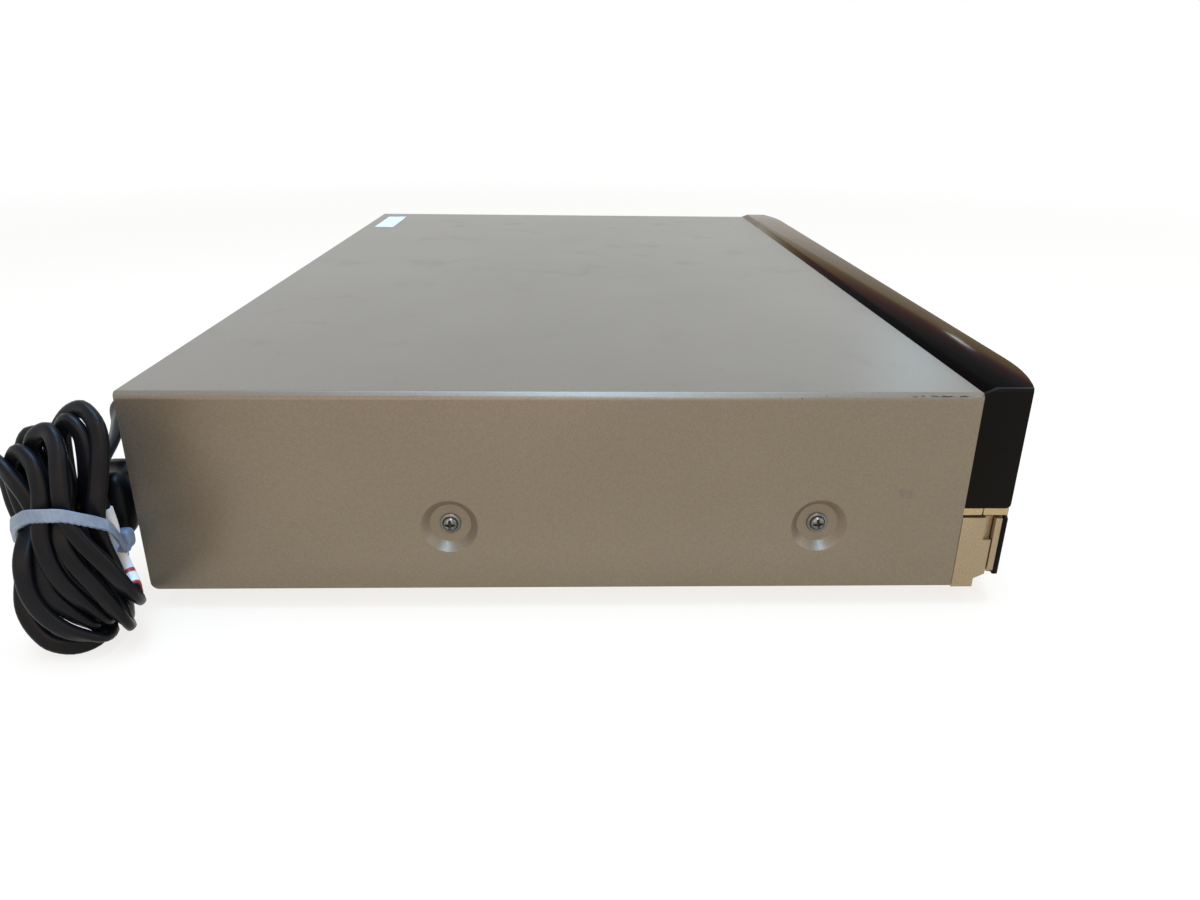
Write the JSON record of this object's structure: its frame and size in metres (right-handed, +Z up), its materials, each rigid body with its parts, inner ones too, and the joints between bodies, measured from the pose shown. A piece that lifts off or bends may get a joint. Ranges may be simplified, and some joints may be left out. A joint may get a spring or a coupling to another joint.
{
  "type": "disc and video cassette combo player",
  "caption": "Low wide hi-fi cabinet in folded steel with a gloss black front, disc tray, tape door, jack door, buttons, full inner mechanism and a tied mains cord.",
  "frame": {"origin": "on the surface below the feet, under the middle of the cabinet's width and depth, cord left out", "axes": "+X to the right seen from the front, +Y to the rear, +Z up; the front faces -Y"},
  "size_m": [0.4592, 0.3257, 0.079],
  "materials": {
    "cover_paint": "fine satin",
    "zinc_sheet": "dull zinc",
    "screw_zinc": "bright zinc",
    "foot_rubber": "matt",
    "blank_label": "satin paper",
    "gloss_black": "high gloss",
    "trim_gold": "metallic paint",
    "champagne": "metallic paint",
    "window_smoke": "clear tinted",
    "socket_metal": "nickel and gold flash",
    "board_green": "solder mask",
    "board_tan": "paper laminate",
    "component_black": "matt",
    "loader_grey": "satin",
    "tray_black": "satin",
    "gear_white": "satin",
    "clamp_white": "satin",
    "deck_steel": "zinc",
    "drum_alloy": "turned",
    "shaft_steel": "ground",
    "belt_rubber": "matt",
    "motor_can": "plated",
    "cord_black": "soft vinyl",
    "tie_clear": "translucent",
    "label_paper": "paper"
  },
  "bodies": {
    "cabinet": {"top_cover": "cover_paint", "chassis_base": "zinc_sheet", "rear_panel": "zinc_sheet", "feet": "foot_rubber", "cover_screws": "screw_zinc", "cover_label": "blank_label", "front_bezel": "gloss_black", "trim_band": "trim_gold", "lower_bezel": "champagne", "lower_fascia": "gloss_black", "display_window": "window_smoke", "front_jacks": "socket_metal", "front_boards": "board_green", "loader_frame": "loader_grey", "clamp_bridge": "deck_steel", "loading_motor": "motor_can", "drive_belt": "belt_rubber", "deck_plate": "deck_steel", "lower_drum": "drum_alloy", "main_board": "board_green", "main_parts": "component_black", "power_board": "board_tan", "power_parts": "component_black", "rear_jacks": "component_black", "strain_relief": "cord_black", "power_cord": "cord_black", "cord_hank": "cord_black", "cable_tie": "tie_clear", "power_plug": "cord_black", "cord_label": "label_paper"},
    "tape_door": {"tape_door": "gloss_black"},
    "jack_door": {"jack_door": "champagne", "door_face": "gloss_black"},
    "power_button": {"power_button": "gloss_black"},
    "disc_eject_button": {"disc_eject_button": "gloss_black"},
    "tape_eject_button": {"tape_eject_button": "gloss_black"},
    "stop_button": {"stop_button": "champagne"},
    "play_button": {"play_button": "champagne"},
    "rewind_button": {"rewind_button": "champagne"},
    "forward_button": {"forward_button": "champagne"},
    "tray": {"disc_tray": "tray_black", "tray_front": "gloss_black"},
    "tray_gear": {"tray_gear": "gear_white"},
    "motor_pulley": {"motor_pulley": "gear_white"},
    "disc_clamp": {"disc_clamp": "clamp_white"},
    "traverse": {"traverse_deck": "deck_steel", "traverse_motors": "motor_can", "sled_rods": "shaft_steel"},
    "turntable": {"turntable": "loader_grey"},
    "pickup_sled": {"pickup_sled": "component_black"},
    "lead_screw": {"lead_screw": "shaft_steel"},
    "head_drum": {"head_drum": "drum_alloy"},
    "capstan": {"capstan": "shaft_steel"},
    "pinch_arm": {"pinch_arm": "deck_steel"},
    "pinch_roller": {"pinch_roller": "belt_rubber"},
    "supply_reel": {"supply_reel": "gear_white"},
    "takeup_reel": {"takeup_reel": "gear_white"},
    "cassette_holder": {"cassette_holder": "deck_steel"},
    "supply_guide": {"supply_guide": "shaft_steel"},
    "takeup_guide": {"takeup_guide": "shaft_steel"}
  },
  "joints": [
    {"name": "tray_slide", "type": "slide", "parent": "cabinet", "child": "tray", "axis": [0, -1, 0], "range_m": [0, 0.131]},
    {"name": "tray_gear_spin", "type": "hinge", "parent": "cabinet", "child": "tray_gear", "pos_m": [-0.1564, -0.11505, 0.059], "axis": [0, 0, 1], "range_deg": [0, 783]},
    {"name": "motor_pulley_spin", "type": "hinge", "parent": "cabinet", "child": "motor_pulley", "pos_m": [-0.1224, -0.11705, 0.053], "axis": [0, 0, 1], "range_deg": [0, 2868]},
    {"name": "tape_door_hinge", "type": "hinge", "parent": "cabinet", "child": "tape_door", "pos_m": [0.083, -0.14655, 0.0733], "axis": [1, 0, 0], "range_deg": [0, 88], "stiffness_Nm_per_rad": 0.006, "springref_deg": -34.38},
    {"name": "jack_door_hinge", "type": "hinge", "parent": "cabinet", "child": "jack_door", "pos_m": [-0.1375, -0.14115, 0.0138], "axis": [1, 0, 0], "range_deg": [0, 85]},
    {"name": "power_button_press", "type": "slide", "parent": "cabinet", "child": "power_button", "axis": [0, 1, 0], "range_m": [0, 0.0008], "stiffness_N_per_m": 200, "springref_m": -0.001},
    {"name": "disc_eject_button_press", "type": "slide", "parent": "cabinet", "child": "disc_eject_button", "axis": [0, 1, 0], "range_m": [0, 0.0008], "stiffness_N_per_m": 200, "springref_m": -0.001},
    {"name": "tape_eject_button_press", "type": "slide", "parent": "cabinet", "child": "tape_eject_button", "axis": [0, 1, 0], "range_m": [0, 0.0008], "stiffness_N_per_m": 200, "springref_m": -0.001},
    {"name": "stop_button_press", "type": "slide", "parent": "cabinet", "child": "stop_button", "axis": [0, 1, 0], "range_m": [0, 0.0008], "stiffness_N_per_m": 200, "springref_m": -0.001},
    {"name": "play_button_press", "type": "slide", "parent": "cabinet", "child": "play_button", "axis": [0, 1, 0], "range_m": [0, 0.0008], "stiffness_N_per_m": 200, "springref_m": -0.001},
    {"name": "rewind_button_press", "type": "slide", "parent": "cabinet", "child": "rewind_button", "axis": [0, 1, 0], "range_m": [0, 0.0008], "stiffness_N_per_m": 200, "springref_m": -0.001},
    {"name": "forward_button_press", "type": "slide", "parent": "cabinet", "child": "forward_button", "axis": [0, 1, 0], "range_m": [0, 0.0008], "stiffness_N_per_m": 200, "springref_m": -0.001},
    {"name": "disc_clamp_spin", "type": "hinge", "parent": "cabinet", "child": "disc_clamp", "pos_m": [-0.11, -0.08025, 0.072], "axis": [0, 0, 1], "continuous": true},
    {"name": "traverse_lift", "type": "hinge", "parent": "cabinet", "child": "traverse", "pos_m": [-0.11, 0.01175, 0.048], "axis": [-1, 0, 0], "range_deg": [0, 4.6]},
    {"name": "turntable_spin", "type": "hinge", "parent": "traverse", "child": "turntable", "pos_m": [-0.11, -0.08025, 0.058], "axis": [0, 0, 1], "continuous": true},
    {"name": "sled_feed", "type": "slide", "parent": "traverse", "child": "pickup_sled", "axis": [0, 1, 0], "range_m": [0, 0.034]},
    {"name": "lead_screw_spin", "type": "hinge", "parent": "traverse", "child": "lead_screw", "pos_m": [-0.096, -0.06, 0.0417], "axis": [0, 1, 0], "range_deg": [0, 4081]},
    {"name": "head_drum_spin", "type": "hinge", "parent": "cabinet", "child": "head_drum", "pos_m": [0.083, 0.04795, 0.04], "axis": [0, 0, 1], "continuous": true},
    {"name": "capstan_spin", "type": "hinge", "parent": "cabinet", "child": "capstan", "pos_m": [0.135, 0.01995, 0.024], "axis": [0, 0, 1], "continuous": true},
    {"name": "pinch_arm_swing", "type": "hinge", "parent": "cabinet", "child": "pinch_arm", "pos_m": [0.1433, 0.04095, 0.03], "axis": [0, 0, -1], "range_deg": [0, 25]},
    {"name": "pinch_roller_spin", "type": "hinge", "parent": "pinch_arm", "child": "pinch_roller", "pos_m": [0.15218, 0.02192, 0.036], "axis": [0, 0, 1], "continuous": true},
    {"name": "supply_reel_spin", "type": "hinge", "parent": "cabinet", "child": "supply_reel", "pos_m": [0.037, -0.05305, 0.03], "axis": [0, 0, 1], "continuous": true},
    {"name": "takeup_reel_spin", "type": "hinge", "parent": "cabinet", "child": "takeup_reel", "pos_m": [0.129, -0.05305, 0.03], "axis": [0, 0, 1], "continuous": true},
    {"name": "holder_feed", "type": "slide", "parent": "cabinet", "child": "cassette_holder", "axis": [0, 1, 0], "range_m": [0, 0.045]},
    {"name": "takeup_guide_draw", "type": "slide", "parent": "cabinet", "child": "takeup_guide", "axis": [0.3285, 0.9445, 0], "range_m": [0, 0.0487]},
    {"name": "supply_guide_draw", "type": "slide", "parent": "cabinet", "child": "supply_guide", "axis": [-0.3285, 0.9445, 0], "range_m": [0, 0.0487]}
  ],
  "couplings": [
    {"joint": "tray_gear_spin", "follows": "tray_slide", "rad_per_m": 104.17},
    {"joint": "motor_pulley_spin", "follows": "tray_slide", "rad_per_m": 381.94},
    {"joint": "lead_screw_spin", "follows": "sled_feed", "rad_per_m": 2094.4},
    {"joint": "supply_guide_draw", "follows": "takeup_guide_draw", "ratio": 1}
  ]
}
